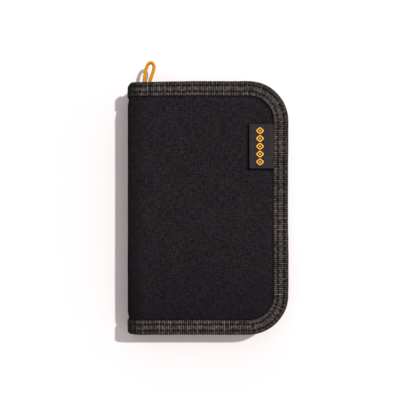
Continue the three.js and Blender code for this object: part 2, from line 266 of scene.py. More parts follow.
# ---- Materials ----
def srgb(*colour):
    """Red, green and blue given as they look on a screen, 0 to 255."""
    return *(((c / 255 + 0.055) / 1.055) ** 2.4 if c > 10 else c / 255 / 12.92 for c in colour), 1


class Finish:
    """A material's node tree, built in short calls. Values are numbers or other nodes' outputs."""

    def __init__(self, name, roughness, specular=0.25, metallic=0.0, sheen=0.0):
        self.material = bpy.data.materials.new(name)
        self.material.use_nodes = True
        self.tree = self.material.node_tree
        self.shader = self.tree.nodes["Principled BSDF"]
        self.set("Roughness", roughness)
        self.set("Specular IOR Level", specular)
        self.set("Metallic", metallic)
        self.set("Sheen Weight", sheen)
        self.set("Sheen Roughness", 0.6)

    def feed(self, socket, value):
        if isinstance(value, bpy.types.NodeSocket):
            self.tree.links.new(value, socket)
        else:
            socket.default_value = value

    def set(self, name, value):
        self.feed(self.shader.inputs[name], value)

    def add(self, kind, inputs, **settings):
        node = self.tree.nodes.new("ShaderNode" + kind)
        for key, value in settings.items():
            setattr(node, key, value)
        for key, value in inputs.items():
            self.feed(node.inputs[key], value)
        return node

    def math(self, operation, a, b=0.0):
        return self.add("Math", {0: a, 1: b}, operation=operation).outputs[0]

    def plus(self, a, b):
        return self.math("ADD", a, b)

    def times(self, a, b):
        return self.math("MULTIPLY", a, b)

    def ramp(self, value, low, high):
        """value from low to high, as 0 to 1."""
        inputs = {"Value": value, "From Min": low, "From Max": high}
        return self.add("MapRange", inputs, interpolation_type="SMOOTHSTEP").outputs[0]

    def mix(self, share, a, b):
        node = self.add("Mix", {}, data_type="RGBA")
        self.feed(node.inputs[0], share)
        self.feed(node.inputs[6], a)
        self.feed(node.inputs[7], b)
        return node.outputs[2]

    def cloth(self):
        """The piece's own flat coordinates in millimetres: the vector, and its two parts."""
        vector = self.add("UVMap", {}, uv_map="cloth").outputs[0]
        parts = self.add("SeparateXYZ", {0: vector})
        return vector, parts.outputs[0], parts.outputs[1]

    def place(self):
        """The place on the object in millimetres."""
        place = self.add("TexCoord", {}).outputs["Object"]
        return self.add("VectorMath", {0: place, "Scale": 1 / MM}, operation="SCALE").outputs[0]

    def noise(self, vector, size, detail=2.0, stretch=(1, 1, 1)):
        """Noise from 0 to 1 whose spots are about size across."""
        scaled = self.add("VectorMath", {0: vector, 1: stretch}, operation="MULTIPLY").outputs[0]
        return self.add("TexNoise", {"Vector": scaled, "Scale": 1 / size, "Detail": detail}).outputs[0]

    # reads the piece's painted light and shade
    def tone(self):
        return self.add("Attribute", {}, attribute_name="tone").outputs["Fac"]

    def wave(self, value, pitch):
        return self.math("SINE", self.times(value, math.pi / pitch))

    def ridges(self, value, pitch):
        """A rounded ridge each pitch, from 0 to 1."""
        return self.math("ABSOLUTE", self.wave(value, pitch))

    def weave(self, u, v, pitch):
        """Height of a plain weave: over and under, with a hollow between the yarns."""
        warp = self.wave(u, pitch)
        weft = self.wave(v, pitch)
        over = self.math("GREATER_THAN", self.times(warp, weft), 0.0)
        up = self.math("POWER", self.math("ABSOLUTE", warp), 0.6)
        side = self.math("POWER", self.math("ABSOLUTE", weft), 0.6)
        return self.plus(self.times(up, over), self.times(side, self.math("SUBTRACT", 1.0, over)))

    def bump(self, height, distance):
        self.set("Normal", self.add("Bump", {"Height": height, "Distance": distance * MM}).outputs[0])

    def colour(self, value):
        self.set("Base Color", value)


def canvas_finish():
    """Matt black waxed canvas: an uneven weave with a few pale specks, with the painted light and shade of
    its attribute laid over the mottling.
    """
    f = Finish("black canvas", 0.88, specular=0.04)
    vector, u, v = f.cloth()
    patches = f.noise(vector, 16, 3)
    slub_u = f.noise(vector, 0.85, 2, stretch=(1, 0.22, 1))
    slub_v = f.noise(vector, 0.85, 2, stretch=(0.22, 1, 1))
    spots = f.noise(vector, 1.3, 3)
    slubs = f.plus(f.times(slub_u, 0.5), f.times(slub_v, 0.5))
    shade = f.plus(f.times(slubs, 0.7), f.times(spots, 0.3))
    shade = f.ramp(f.plus(shade, f.times(patches, 0.1)), 0.37, 0.76)
    # painted light and shade from the piece's attribute
    with_painted_shade = f.times(shade, f.tone())
    base = f.mix(with_painted_shade, srgb(12, 11, 14), srgb(46, 44, 47))
    weave = f.weave(u, v, 0.55)
    base = f.mix(f.times(weave, 0.25), base, srgb(20, 19, 21))
    specks = f.ramp(f.noise(vector, 0.6, 1), 0.72, 0.78)
    f.colour(f.mix(f.times(specks, 0.6), base, srgb(84, 82, 84)))
    f.bump(f.plus(weave, f.times(slubs, 1.2)), 0.16)
    return f.material


def grosgrain_finish():
    """Dark grey ribbed tape, with painted highlights on the rib crests and painted shade between them,
    paler in random patches where the ribs are worn.
    """
    f = Finish("grey grosgrain", 0.7, specular=0.08, sheen=0.02)
    vector, _, v = f.cloth()
    # the painted light and shade of the ribs
    rib = f.tone()
    yarn = f.noise(vector, 0.5, 2, stretch=(1, 0.35, 1))
    worn = f.ramp(f.noise(vector, 1.5, 2, stretch=(1, 0.6, 1)), 0.25, 0.75)
    shade = f.times(rib, f.plus(0.3, f.times(yarn, 1.3)))
    shade = f.times(shade, f.plus(0.45, f.times(worn, 0.95)))
    f.colour(f.mix(f.ramp(shade, 0.05, 1.25), srgb(10, 9, 9), srgb(113, 105, 101)))
    weft = f.ridges(v, 0.32)
    f.bump(f.plus(f.times(weft, 0.6), yarn), 0.07)
    return f.material


def thread_finish():
    """Black twisted sewing thread."""
    f = Finish("black thread", 0.65, specular=0.06)
    vector, u, v = f.cloth()
    twist = f.ridges(f.plus(u, f.times(v, 0.7)), 0.3)
    f.colour(f.mix(f.times(twist, f.noise(vector, 2.5)), srgb(4, 4, 4), srgb(24, 22, 22)))
    f.bump(twist, 0.06)
    return f.material


def label_finish():
    """Dark grey woven label with fine cross ribs."""
    f = Finish("woven label", 0.7, specular=0.12, sheen=0.05)
    vector, u, v = f.cloth()
    ribs = f.ridges(v, 0.42)
    fine = f.ridges(u, 0.3)
    uneven = f.noise(vector, 1.4, 3, stretch=(1, 0.5, 1))
    shade = f.plus(f.times(ribs, 0.35), f.times(uneven, 0.8))
    f.colour(f.mix(f.ramp(shade, 0.35, 0.9), srgb(21, 19, 22), srgb(48, 44, 48)))
    f.bump(f.plus(ribs, f.times(fine, 0.4)), 0.08)
    return f.material


def motif_finish():
    """Yellow satin stitches."""
    f = Finish("yellow embroidery", 0.45, specular=0.4, sheen=0.1)
    vector, u, _ = f.cloth()
    threads = f.ridges(u, 0.22)
    shade = f.plus(f.times(threads, 0.6), f.times(f.noise(vector, 0.8), 0.5))
    f.colour(f.mix(f.ramp(shade, 0.1, 0.9), srgb(196, 122, 18), srgb(250, 196, 58)))
    f.bump(threads, 0.06)
    return f.material


def braid_finish():
    """Orange-yellow braided cord, with painted shade between its strands and inside its bends."""
    f = Finish("yellow braid", 0.6, specular=0.15)
    place = f.place()
    # painted shade between the strands and inside the bends
    braid_painted_shade = f.tone()
    fibres = f.noise(place, 0.25, 3)
    uneven = f.noise(place, 2.5, 2)
    shade = f.times(braid_painted_shade, f.plus(0.7, f.times(uneven, 0.5)))
    base = f.mix(f.ramp(shade, 0.25, 1.0), srgb(150, 66, 0), srgb(233, 176, 0))
    f.colour(f.mix(f.times(fibres, 0.3), base, srgb(206, 126, 0)))
    f.bump(fibres, 0.08)
    return f.material


def lining_finish(name="grey ripstop", dark=(34, 34, 37), light=(66, 66, 71)):
    """Thin ripstop: a fine weave with a thicker yarn in each direction every few millimetres."""
    f = Finish(name, 0.42, specular=0.4, sheen=0.1)
    vector, u, v = f.cloth()
    thick_yarns = 3.2  # from one to the next
    lines = [f.math("GREATER_THAN", f.ridges(x, thick_yarns), 0.985) for x in (u, v)]
    grid = f.math("MAXIMUM", *lines)
    weave = f.weave(u, v, 0.26)
    uneven = f.noise(vector, 5, 3)
    shade = f.plus(f.times(uneven, 0.6), f.times(weave, 0.25))
    base = f.mix(f.ramp(shade, 0.2, 0.85), srgb(*dark), srgb(*light))
    f.colour(f.mix(f.times(grid, 0.45), base, srgb(88, 88, 94)))
    f.set("Roughness", f.plus(0.36, f.times(uneven, 0.2)))
    f.bump(f.plus(f.times(weave, 0.5), f.plus(grid, uneven)), 0.09)
    return f.material


def foam_finish():
    """Closed-cell foam."""
    f = Finish("grey foam", 0.9, specular=0.1)
    place = f.place()
    cells = f.add("TexVoronoi", {"Vector": place, "Scale": 2.2}).outputs["Distance"]
    f.colour(f.mix(f.ramp(cells, 0.0, 0.6), srgb(74, 74, 78), srgb(46, 46, 49)))
    f.bump(cells, 0.15)
    return f.material


def zip_tape_finish():
    """Black herringbone zip tape."""
    f = Finish("black zip tape", 0.75, specular=0.1)
    vector, u, v = f.cloth()
    zigzag = f.math("PINGPONG", v, 1.1)
    twill = f.ridges(f.plus(u, zigzag), 0.6)
    uneven = f.noise(vector, 1.2, 3)
    shade = f.times(twill, f.plus(0.4, f.times(uneven, 1.1)))
    f.colour(f.mix(f.ramp(shade, 0.1, 1.0), srgb(8, 8, 9), srgb(58, 56, 59)))
    f.bump(twill, 0.14)
    return f.material


def coil_finish():
    """Glossy black nylon, a little lighter and rougher in random patches."""
    f = Finish("black nylon coil", 0.3, specular=0.5)
    place = f.place()
    uneven = f.noise(place, 3, 2)
    f.colour(f.mix(uneven, srgb(16, 16, 17), srgb(40, 40, 42)))
    f.set("Roughness", f.plus(0.22, f.times(uneven, 0.25)))
    f.bump(f.noise(place, 0.4, 2), 0.02)
    return f.material


def metal_finish():
    """Black coated zinc with bright worn edges and fine scratches."""
    f = Finish("black coated metal", 0.35, specular=0.5, metallic=0.85)
    place = f.place()
    edge = f.ramp(f.add("NewGeometry", {}).outputs["Pointiness"], 0.52, 0.6)
    grain = f.noise(place, 0.5, 4)
    wear = f.times(edge, f.ramp(grain, 0.35, 0.6))
    scratches = f.noise(place, 0.6, 3, stretch=(1, 0.1, 1))
    f.colour(f.mix(wear, srgb(38, 38, 41), srgb(150, 146, 142)))
    f.set("Roughness", f.plus(0.25, f.times(scratches, 0.3)))
    f.bump(scratches, 0.02)
    return f.material


def floor_finish():
    """Matt white board, a little whiter on the side that the light comes from."""
    f = Finish("white floor", 0.9, specular=0.0)
    place = f.place()
    inputs = {0: place, 1: (0.8, 0.6, 0)}
    towards_light = f.add("VectorMath", inputs, operation="DOT_PRODUCT").outputs["Value"]
    shade = f.plus(f.ramp(towards_light, -35, 50), f.times(f.noise(place, 400, 1), 0.05))
    f.colour(f.mix(shade, (0.735, 0.735, 0.735, 1), (0.845, 0.845, 0.845, 1)))
    return f.material


CANVAS = canvas_finish()
GROSGRAIN = grosgrain_finish()
THREAD = thread_finish()
FOAM = foam_finish()
LINING = lining_finish()
POCKET_CLOTH = lining_finish("dark ripstop", (26, 26, 28), (50, 50, 54))
ZIP_TAPE = zip_tape_finish()
COIL = coil_finish()
METAL = metal_finish()


# ---- Camera, looking straight down ----
def make_camera():
    lens, sensor = 85, 36
    seen_width = 2.572 * (RIGHT - LEFT)  # at the height of the front cover
    data = bpy.data.cameras.new("camera")
    data.lens = lens
    data.sensor_width = sensor
    camera = bpy.data.objects.new("camera", data)
    camera.location.z = (THICK + seen_width * lens / sensor) * MM
    bpy.context.scene.collection.objects.link(camera)
    bpy.context.scene.camera = camera


make_camera()

# ---- Pull cord: one braided loop through the puller's eye ----
CORD_D = 2.0
# The route as (x, y) from the eye's centre, at mid thickness.
CORD_ROUTE = [
    (0.2, 0), (0.75, 0.16), (1.25, 0.6), (1.6, 1.3), (2.0, 2.6), (2.75, 4.9), (3.65, 7.5), (4.4, 9.8),
    (4.7, 11.6), (4.35, 13.3), (3.3, 14.5), (1.9, 14.55), (0.75, 13.5), (-0.15, 11.7), (-0.85, 9.4),
    (-1.3, 7), (-1.6, 4.5), (-1.7, 2.6), (-1.55, 1.3), (-1.2, 0.6), (-0.75, 0.16), (-0.2, 0),
]


def through(route, per_leg=24):
    """A centripetal Catmull-Rom curve through the route's points."""
    points = np.array(route, float)
    points = np.vstack([2 * points[0] - points[1], points, 2 * points[-1] - points[-2]])
    curve = []
    for p0, p1, p2, p3 in zip(points, points[1:], points[2:], points[3:]):
        d0, d1, d2 = (math.sqrt(math.dist(a, b)) for a, b in ((p0, p1), (p1, p2), (p2, p3)))
        m1 = d1 * ((p1 - p0) / d0 - (p2 - p0) / (d0 + d1) + (p2 - p1) / d1)
        m2 = d1 * ((p2 - p1) / d1 - (p3 - p1) / (d1 + d2) + (p3 - p2) / d2)
        t = np.linspace(0, 1, per_leg, endpoint=False)[:, None]
        turn = (2 * t**3 - 3 * t**2 + 1) * p1 + (t**3 - 2 * t**2 + t) * m1
        curve.append(turn + (3 * t**2 - 2 * t**3) * p2 + (t**3 - t**2) * m2)
    return np.vstack([*curve, points[-2:-1]])


def evenly(line, step):
    """The line again with points step apart, and the length up to each."""
    along = lengths(line)
    at = np.linspace(0, along[-1], round(along[-1] / step) + 1)
    return together(*(np.interp(at, along, part) for part in line.T)), at


def plait(a, b):
    """Height from 0 to 1 of two crossing families of strands, where a and b count the strands."""
    first_on_top = (np.floor(a) + np.floor(b)) % 2 == 0
    across = np.where(first_on_top, a, b) % 1
    along = np.where(first_on_top, b, a) % 1
    return np.sin(math.pi * across) ** 0.6 * (0.7 + 0.3 * np.sin(math.pi * along))


def pull_cord():
    step, sides = 0.1, 40
    strands, lay = 4, 1.3  # strands each way, and the length over which one passes to the next's place
    puller_low, puller_high = box_mm("puller")
    eye_x = (puller_low[0] + puller_high[0]) / 2
    eye_y = box_mm("pull_cord")[0][1] + CORD_D / 2  # where the cord's two ends meet
    route = [(eye_x + x, eye_y + y) for x, y in CORD_ROUTE]
    line, along = evenly(through(route), step)
    ahead = unit(np.gradient(line, axis=0))
    turn = round_circle(sides)
    bend = np.gradient(np.unwrap(np.arctan2(ahead[:, 1], ahead[:, 0]))) / step
    hollow = np.clip(1.4 * bend[:, None] * np.cos(turn), 0, 0.6)  # painted shade on the inner side of each bend
    count = strands * turn / (2 * math.pi)
    height = plait(count + along[:, None] / lay, count - along[:, None] / lay)
    radius = CORD_D / 2 * (0.94 + 0.2 * height)
    flat = radius * np.cos(turn)
    x = line[:, :1] - ahead[:, 1:] * flat
    y = line[:, 1:] + ahead[:, :1] * flat
    points = together(x, y, MID_Z + radius * np.sin(turn))
    faces = sweep_faces(len(line), sides)
    # painted shade: darker between the strands and on the inner side of each bend
    piece = make("pull_cord_braid", points, faces, braid_finish(), tone=height * (1 - hollow))
    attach(piece, "pull")
    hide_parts("pull_cord")


pull_cord()


# ---- Outer cloth ----
def cover_grid(inset, step, x_from=FLAT_LEFT):
    """(x, y) over the flat pattern, with its right end following the round corners."""
    ys = np.linspace(inset - TOP, TOP - inset, round(2 * (TOP - inset) / step) + 1)
    r = CORNER_R - inset
    past = np.maximum(np.abs(ys) - CORNER_Y, 0)
    right = CORNER_X + np.sqrt(np.maximum(r * r - past * past, 0))
    across = np.linspace(0, 1, round((RIGHT - x_from) / step) + 1)
    x = x_from + (right[:, None] - x_from) * across[None, :]
    return x, np.broadcast_to(ys[:, None], x.shape)


def cover_sheet(name, x, y, outer, inner, material, cover, tone=None):
    """A closed sheet between two depths of the flat pattern."""
    points = [fold_up(x, y, outer), fold_up(x, y, inner)]
    uv = together(x, y)
    faces = flipped(sheet_faces(*x.shape))
    tone = None if tone is None else [tone, tone]
    return make(name, points, faces, material, uv=[uv, uv], tone=tone, cover=cover)


CANVAS_T = 0.5
CROWN = 0.5  # how far the front canvas is pushed up in its middle


def canvas_depth(x, y, crown):
    """Depth of the canvas: flat under the tape, rising beside it to a soft crown."""
    inset = inset_of(x, y)
    depth = 1.0 - 0.85 * smooth((inset - BINDING_W + 0.3) / 7)
    on_cover = smooth((x - FOLD_X) / 12)
    over = 1 - np.clip((2 * x / (RIGHT - LEFT)) ** 2, 0, 1)
    over = over * (1 - np.clip((y / TOP) ** 2, 0, 1))
    waves = 0.06 * ripple(x, y, 22, 3) + 0.03 * ripple(x, y, 6, 4) * smooth((22 - inset) / 14)
    return depth - on_cover * crown * over + waves * smooth((inset - 9) / 5)


def canvas_painted_shading(x, y):
    """Painted light and shade on the canvas: painted shade towards the fold and the foot, a painted shadow
    in the gap beside the tape, and a painted light band beside the tape on the upper and right sides.
    """
    with_painted_shade = 1.12 - 0.7 * smooth((LEFT + 14 - x) / 14) - 0.5 * smooth((-10 - y) / 75)
    on_spine = smooth((FOLD_X - 0.8 * FOLD_ARC - x) / 2)  # lifts the painted shade again on the spine itself, as pale as the covers
    top_corner = smooth(1 - np.hypot(x - CORNER_X - 9, y - CORNER_Y - 9) / 16)
    # painted shadow along the tape's free edge, wider at the upper corner where the tape lifts
    tape_shadow_width = 0.6 + 0.9 * top_corner
    past_tape = inset_of(x, y) - BINDING_W
    clear_of_tape_shadow = 1 - np.exp(-(((past_tape - 0.3) / tape_shadow_width) ** 2))
    # painted light band beside the tape, on the upper and right sides only
    painted_light_band = np.exp(-(((past_tape - 2.4) / 1.4) ** 2)) * smooth(x / RIGHT + y / TOP)
    return (with_painted_shade + 0.5 * on_spine) * (clear_of_tape_shadow + 0.2 * painted_light_band)


def canvas(cover):
    x, y = cover_grid(1.6, 1.0)
    tone = canvas_painted_shading(x, y)
    if cover == "front":
        outer = canvas_depth(x, y, CROWN) + label_trough(x, y)
        # painted shadow in the trough beside the label's free edges, and under the label
        tone = tone * (1 - 1.6 * label_trough(x, y))
    else:
        outer = np.maximum(canvas_depth(x, y, 0), 0.02)
    name = cover + "_cover_canvas"
    piece = cover_sheet(name, x, y, outer, outer + CANVAS_T, CANVAS, cover, tone=tone)
    bend_with_spine(piece)
    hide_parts(cover + "_canvas", "spine_canvas")


# ---- Label under the right binding ----
(LABEL_LEFT, LABEL_FOOT, _), (LABEL_RIGHT, LABEL_TOP, _) = box_mm("label")
LABEL_T = 0.5


def label_trough(x, y):
    """The canvas lies lower beside the label's free edges."""
    past_left = smooth((x - LABEL_LEFT + 2) / 2)
    past_foot = smooth((y - LABEL_FOOT + 2) / 2)
    left = np.exp(-((x - LABEL_LEFT + 0.6) ** 2)) * smooth((LABEL_TOP + 1 - y) / 2) * past_foot
    below = np.exp(-((y - LABEL_FOOT + 0.6) ** 2)) * past_left
    inside = past_foot * past_left * smooth((LABEL_TOP - y) / 2)
    return 0.5 * np.maximum(left, below) + 0.25 * inside


def label_depth(x, y):
    """Depth of the label's face: lifted at its left and lower edges, tucked under the tape at its right."""
    tucked = smooth((x - LABEL_RIGHT + 4) / 4)
    lift = 0.6 * smooth((LABEL_LEFT + 5 - x) / 5) + 0.5 * smooth((LABEL_FOOT + 5 - y) / 5)
    rounding = 0.18 * smooth((0.5 - np.minimum(y - LABEL_FOOT, LABEL_TOP - y)) / 0.5)
    return -0.45 - lift + rounding + 0.9 * tucked + 0.03 * ripple(x, y, 9, 8)


def label():
    under_tape = 1.6
    xs = np.linspace(LABEL_LEFT, LABEL_RIGHT + under_tape, 44)
    ys = np.linspace(LABEL_FOOT, LABEL_TOP, 72)
    x, y = np.meshgrid(xs, ys)
    face = label_depth(x, y)
    piece = cover_sheet("woven_label", x, y, face, face + LABEL_T, label_finish(), "front")
    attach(piece, "front")
    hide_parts("label")


def satin_bar(start, end, width, height):
    """Points, uv and faces of a raised bar of satin stitches on the label, between two (x, y) places."""
    start, end = np.array(start), np.array(end)
    length = math.dist(start, end)
    ahead = (end - start) / length
    aside = np.array([-ahead[1], ahead[0]])
    across = np.array([-1, -0.8, -0.4, 0, 0.4, 0.8, 1, 0])
    up = np.array([-0.3, 0.5, 0.9, 1, 0.9, 0.5, -0.3, -0.3])
    t = np.linspace(0, length, 12)
    ends = np.sqrt(np.clip(np.minimum(t, length - t) / (width * 0.25), 0.05, 1))
    place = start + t[:, None, None] * ahead + (across * width / 2 * ends[:, None])[..., None] * aside
    depth = label_depth(place[..., 0], place[..., 1]) - up * height * ends[:, None]
    points = fold_up(place[..., 0], place[..., 1], depth)
    uv = together(t[:, None], across * width / 2)
    return points.reshape(-1, 3), uv.reshape(-1, 2), flipped(sweep_faces(len(t), len(across)))


def motif():
    """A column of hollow diamonds with a small solid diamond in each."""
    count, pitch = 5, 5.0
    half_w, half_h = 2.3, 2.05
    stroke, dot_half, dot_w, raised = 0.85, 0.6, 1.1, 0.22
    centre_x = LABEL_LEFT + 6.9
    parts = []
    for k in range(count):
        centre_y = (LABEL_FOOT + LABEL_TOP) / 2 + (k - (count - 1) / 2) * pitch
        corners = [(centre_x + half_w, centre_y), (centre_x, centre_y + half_h),
                   (centre_x - half_w, centre_y), (centre_x, centre_y - half_h)]
        bars = [(a, b, stroke) for a, b in zip(corners, corners[1:] + corners[:1])]
        bars.append(((centre_x - dot_half, centre_y), (centre_x + dot_half, centre_y), dot_w))
        parts += [satin_bar(a, b, width, raised) for a, b, width in bars]
    points, uv, faces = join_up(parts)
    piece = make("label_motif", points, faces, motif_finish(), uv=uv, cover="front")
    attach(piece, "front")


# ---- Binding tape, folded over the edge ----
EDGE_ROLL = 1.5  # how far in the rounded edge reaches
EDGE_GAP = 0.1  # between the tape and the flat pattern's edge
SEAM_DEPTH = 0.3
RIB_H = 0.13
POINTS_PER_RIB = 5


def seam_dip(inset, between=0.0):
    """How deep the two seams pull the tape in: less where between is 1, between two stitches."""
    rows = sum(np.exp(-(((inset - row) / 0.6) ** 2)) for row in STITCH_ROWS)
    return SEAM_DEPTH * rows * (1 - 0.8 * between)


def binding_section():
    """Points round the folded tape as (inset, depth, 1 where it is ribbed), from its outer free edge."""
    out = np.linspace(BINDING_W, EDGE_ROLL, 25)
    turn = np.linspace(0, math.pi, 12)[1:-1]
    back = np.linspace(EDGE_ROLL, BINDING_IN_W, 13)
    skin = [(d, 0.2 * smooth((d - BINDING_W + 0.5) / 0.5), 1) for d in out]
    skin += [(EDGE_ROLL * (1 - math.sin(a)), COVER_T / 2 * (1 - math.cos(a)), 1) for a in turn]
    skin += [(d, COVER_T, 1) for d in back]
    inside = [(d, COVER_T - TAPE_T, 0) for d in back[::-4]]
    roll, half = EDGE_ROLL - TAPE_T, COVER_T / 2 - TAPE_T
    inside += [(EDGE_ROLL - roll * math.sin(a), COVER_T / 2 + half * math.cos(a), 0) for a in turn[::2]]
    inside += [(d, TAPE_T, 0) for d in out[::-4]]
    return np.array(skin + inside)


def outward(section):
    """Unit normals of the section's outline, pointing out of the tape."""
    ahead = np.roll(section, -1, axis=0) - np.roll(section, 1, axis=0)
    return unit(together(ahead[:, 1], -ahead[:, 0]))


def rib_shape(seed):
    """Along the tape: the length at each row of points, and how high its rib is and how pale its painted
    crest highlight is there.
    """
    rng = np.random.default_rng(seed)
    ribs = round(edge_length() / RIB_PITCH)
    widths = rng.uniform(0.85, 1.15, ribs)
    ends = np.concatenate([[0], np.cumsum(widths)]) * edge_length() / widths.sum()
    k = np.arange(ribs * POINTS_PER_RIB + 1) / POINTS_PER_RIB
    s = np.interp(k, np.arange(ribs + 1), ends)
    rib = np.minimum(k.astype(int), ribs - 1)
    ridge = np.sin(math.pi * (k % 1)) ** 0.8
    height = ridge * rng.uniform(0.8, 1.15, ribs)[rib]
    # painted highlight on each rib's crest, paler at random from rib to rib
    pale = ridge**2.4 * rng.uniform(0.7, 1.15, ribs)[rib]
    return s, height, pale


def binding_painted_shading(x, s, inset, ribbed, pale):
    """Painted light and shade on the tape: a painted highlight on the rib crests, an even, darker painted
    shade where the tape folds round the spine, painted shade where stitches pull it in, and darker towards
    its outer edge.
    """
    over_fold = smooth((LEFT + 8 - x) / 4)
    seam = seam_dip(inset) / SEAM_DEPTH
    at_edge = smooth((STITCH_ROWS[0] - inset) / 1.5)
    # painted highlight on the rib crests, and an even, darker painted shade over the fold
    tone = np.where(ribbed > 0, pale * (1 - over_fold) + 0.24 * over_fold, 0.3 * pale)
    # painted shade along the seams, and darker towards the outer edge
    return tone * (1 - seam * (1 - 0.45 * between_stitches(s))) * (1 - 0.3 * at_edge)


def binding(cover):
    front = cover == "front"
    s, rib_height, pale = (a[:, None] for a in rib_shape(11 if front else 12))
    section = binding_section()
    normal = outward(section)
    inset, depth, ribbed = (column + 0 * s for column in section.T)
    outer = depth < COVER_T / 2
    dip = seam_dip(inset, between_stitches(s)) * (inset > EDGE_ROLL)
    pulled = np.sin(2 * math.pi * stitch_phase(s)) * seam_dip(inset)
    x, y, nx, ny = edge_at(np.clip(s + pulled, 0, edge_length()))
    depth = depth + np.where(outer, dip, -dip)
    corner = smooth(1 - np.abs(np.abs(nx * ny) - 0.5) / 0.5)  # 1 in the middle of a round corner
    near_free_edge = smooth((inset - 5) / (BINDING_W - 5)) * outer
    pucker = 4.4
    depth = depth - 0.12 * corner * near_free_edge * np.sin(2 * math.pi * s / pucker)
    if front:
        # The free edge stands up a little at the upper corner.
        lifted = smooth(1 - np.hypot(x - CORNER_X - 12, y - CORNER_Y - 12) / 18)
        depth = depth - 0.7 * lifted * near_free_edge
    wander = 0.12 * ripple(s, 0, 60, 21 if front else 22) + 0.06 * ripple(s, 0, 9, 23)
    height = RIB_H * rib_height * ribbed
    inset = inset + EDGE_GAP + wander + height * normal[:, 0]
    depth = depth + height * normal[:, 1]
    if not front:
        depth = np.maximum(depth, 0.0)
    points = fold_up(x + nx * inset, y + ny * inset, depth)
    tone = binding_painted_shading(x, s, inset, ribbed, pale)
    around = lengths(section[:, :2])
    faces = flipped(sweep_faces(len(s), len(section)))
    name = cover + "_edge_tape"
    piece = make(name, points, faces, GROSGRAIN, uv=together(s, around), tone=tone, cover=cover)
    bend_with_spine(piece)
    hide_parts(cover + "_binding", "spine_binding_top", "spine_binding_bottom")


# ---- Stitches ----
STITCH_L = 2.1
THREAD_R = 0.3
SEAM_END = 1.5  # the seams stop this far from the tape's ends
SEAM_L = edge_length() - 2 * SEAM_END
STITCHES = round(SEAM_L / STITCH_PITCH)


def stitch_phase(s):
    """Where a length along the edge lies in a row of stitches. Whole numbers fall between two stitches."""
    return (s - SEAM_END) / SEAM_L * STITCHES


def between_stitches(s):
    """1 between two stitches, and 0 at the middle of a stitch."""
    return 0.5 + 0.5 * np.cos(2 * math.pi * stitch_phase(s))


def stitch_row(inset, inward):
    """Points, uv and faces of each stitch at an inset. inward is 1 outside the cover and -1 inside."""
    rings, sides = 8, 6
    along = np.linspace(-1, 1, rings)[:, None]
    turn = round_circle(sides)
    middle = SEAM_END + SEAM_L / STITCHES * (np.arange(STITCHES)[:, None, None] + 0.5)
    s = middle + along * STITCH_L / 2
    x, y, nx, ny = edge_at(s)
    radius = THREAD_R * (1 - 0.35 * along**4)
    side = inset + EDGE_GAP + radius * np.cos(turn)
    sink = 0.5 * np.abs(along) ** 3
    zip_left, _, zip_foot = box_mm("back_zip_tape")[0]
    inner = np.where(x > zip_left, zip_foot + TAPE_T, COVER_T) - 0.1  # on the zip's tape where there is one
    depth = 0.24 if inward > 0 else inner
    points = fold_up(x + nx * side, y + ny * side, depth + inward * (sink - radius * np.sin(turn)))
    faces = sweep_faces(rings, sides)
    if inward > 0:
        faces = flipped(faces)
    uv = together(s, turn * THREAD_R)
    each = zip(points.reshape(STITCHES, -1, 3), uv.reshape(STITCHES, -1, 2))
    return [(*stitch, faces) for stitch in each]


def stitching(cover):
    rows = [stitch_row(row, inward) for row in STITCH_ROWS for inward in (1, -1)]
    points, uv, faces = join_up(sum(rows, []))
    piece = make(cover + "_edge_stitches", points, faces, THREAD, uv=uv, cover=cover)
    bend_with_spine(piece)


# ---- Foam and lining ----
FOAM_DEPTH = 2.05  # of its middle, from a cover's outer face
LINING_T = 0.25


def foam(cover):
    x, y = cover_grid(2.4, 2.0, FOLD_X + 1)
    inset = np.minimum(inset_of(x, y), x - FOLD_X)
    half = 0.15 + 0.4 * np.sqrt(smooth(inset / 6))
    outer, inner = FOAM_DEPTH - half, FOAM_DEPTH + half
    piece = cover_sheet(cover + "_foam", x, y, outer, inner, FOAM, cover)
    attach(piece, cover)
    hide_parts(cover + "_stiffener")


def spine_foam():
    low, high = box_mm("spine_stiffener")
    zs = np.linspace(low[2] + 0.4, high[2] - 0.4, 12)
    ys = np.linspace(low[1] + 6, high[1] - 6, 80)
    z, y = np.meshgrid(zs, ys)
    edge = np.minimum.reduce([z - zs[0], zs[-1] - z, y - ys[0], ys[-1] - y])
    half = 0.12 + 0.43 * np.sqrt(smooth(edge / 3))
    middle = (low[0] + high[0]) / 2
    points = [together(middle - half, y, z), together(middle + half, y, z)]
    piece = make("spine_foam", points, sheet_faces(*z.shape), FOAM)
    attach(piece, "spine")
    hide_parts("spine_stiffener")


def lining(cover):
    x, y = cover_grid(1.8, 1.5)
    inset = inset_of(x, y)
    bulge = 0.1 + 0.1 * ripple(x, y, 26, 31) + 0.05 * ripple(x, y, 8, 32)
    past_tape = inset - BINDING_IN_W
    face = LINING_Z + bulge * smooth(past_tape / 6) - 0.1 * smooth(-past_tape)
    name = cover + "_cover_lining"
    piece = cover_sheet(name, x, y, face - LINING_T, face, LINING, cover)
    bend_with_spine(piece)
    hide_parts(cover + "_lining", "spine_lining")


label()
motif()
for cover in COVERS:
    for add_layer in (foam, canvas, lining, binding, stitching):
        add_layer(cover)
spine_foam()


# ---- Zip ----
SLIDER_END = box_mm("slider_body")[1][0]  # at rest, towards the closed zip
joints = {joint["name"]: joint for joint in frame["joints"]}
SLIDER_TRAVEL = joints["slider_travel"]["range_m"][1] / MM


